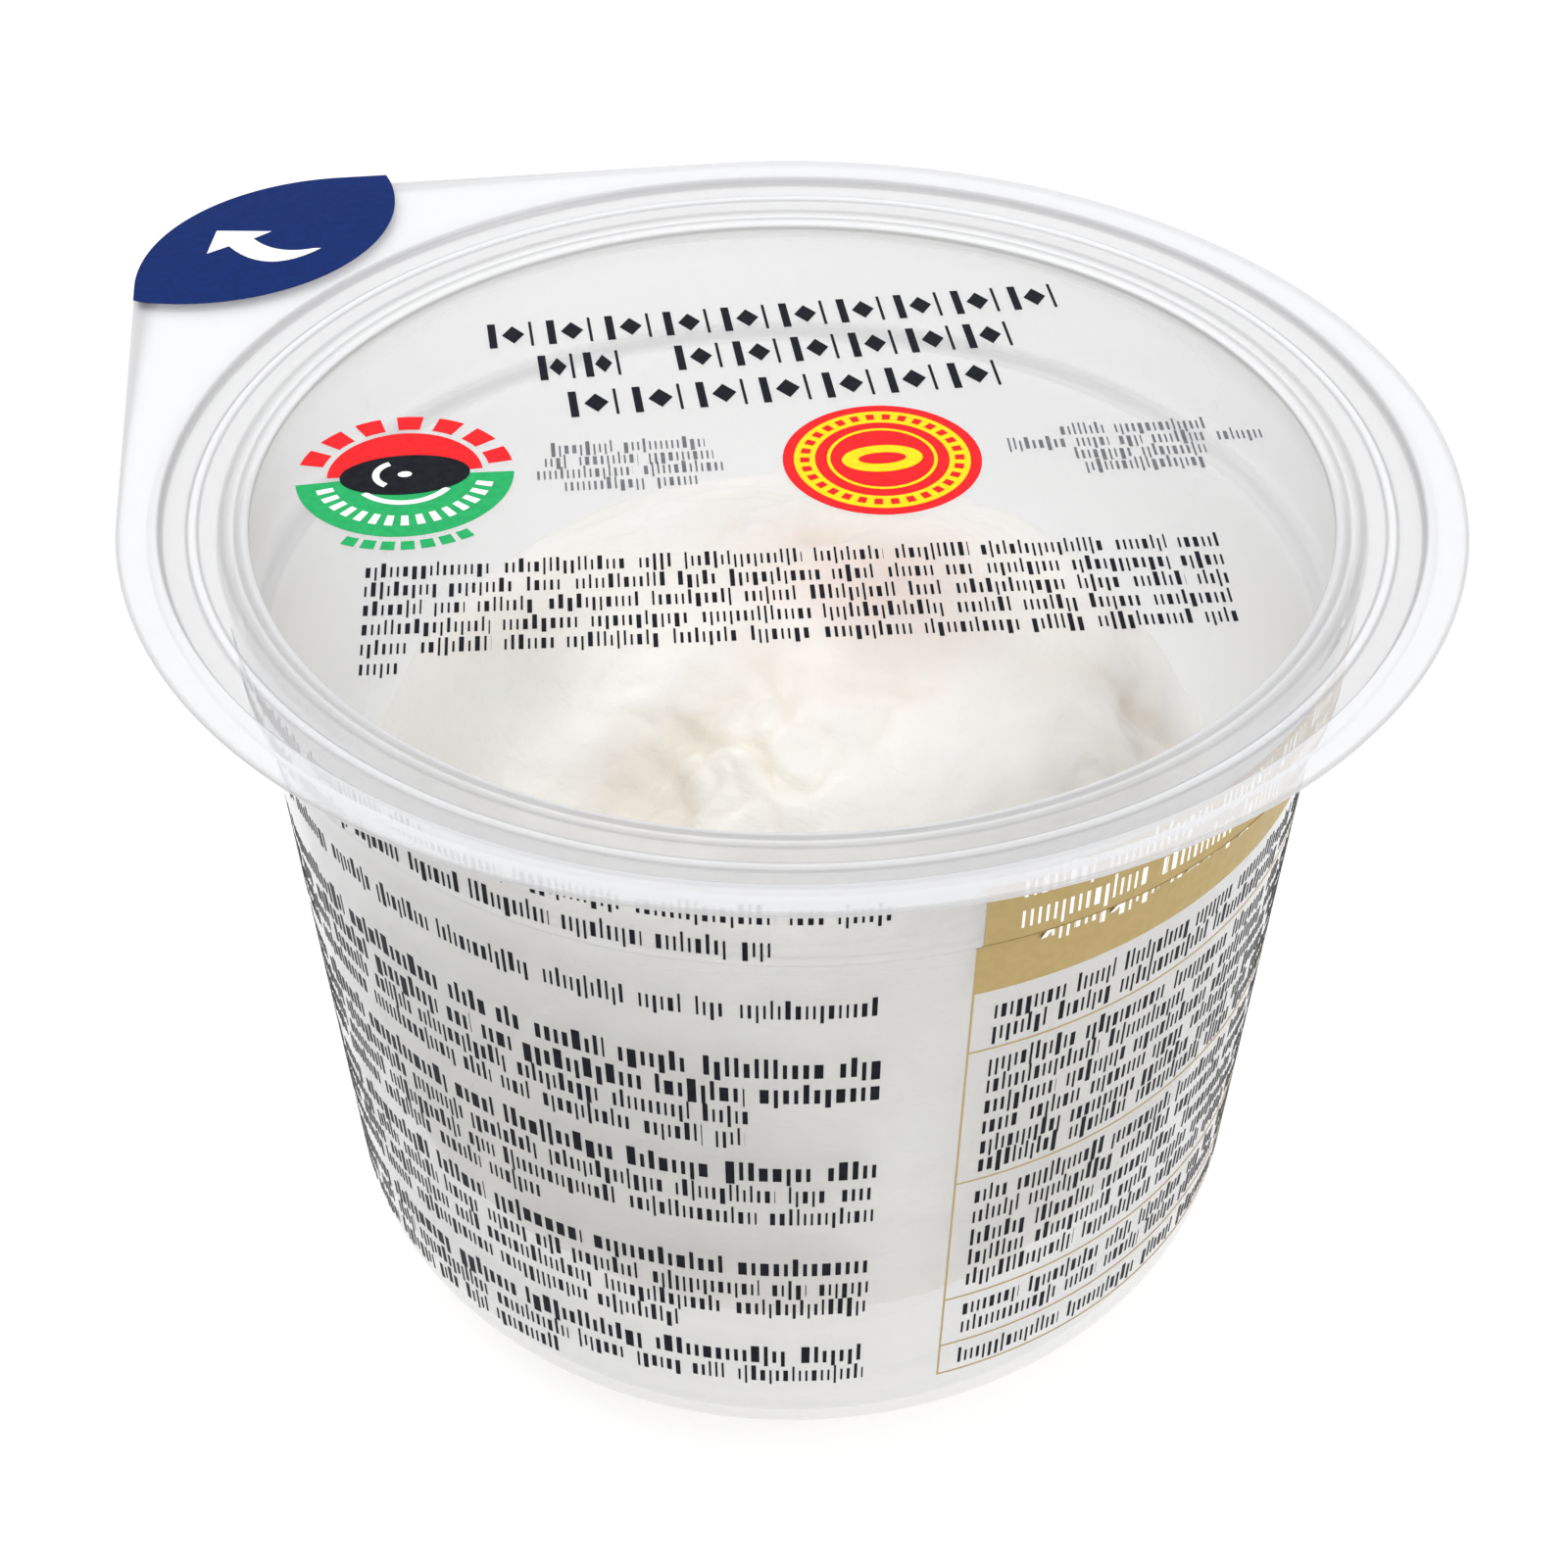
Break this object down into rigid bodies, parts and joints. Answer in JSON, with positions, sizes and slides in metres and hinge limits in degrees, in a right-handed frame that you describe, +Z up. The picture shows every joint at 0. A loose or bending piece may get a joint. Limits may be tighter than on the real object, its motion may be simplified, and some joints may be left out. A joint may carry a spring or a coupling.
{
  "type": "packed mozzarella ball",
  "caption": "Mozzarella ball in a sealed clear round tub with a wide flange, a step below the rim and a flat clear peel film with a corner tab.",
  "frame": {"origin": "centre of the foot ring's plane, on the tub's axis, at the bottom centre of the box", "axes": "+Z up along the tub's axis; the peel tab's corner points towards -X +Y, and its straight edges run along X and Y"},
  "size_m": [0.095, 0.095, 0.0671],
  "materials": {
    "clear_tub": "clear, slightly milky thermoformed polypropylene",
    "clear_film": "clear glossy peel film",
    "mozzarella": "moist satin skin, creamy white with warm shade in its creases",
    "dark_print": "black printed bars",
    "blue_print": "solid dark blue print on the peel corner",
    "gold_print": "flat gold print",
    "white_print": "white print",
    "red_print": "red print",
    "green_print": "green print",
    "yellow_print": "yellow print"
  },
  "bodies": {
    "root": {"tub": "clear_tub", "lid_film": "clear_film", "mozzarella_ball": "mozzarella"}
  },
  "joints": []
}
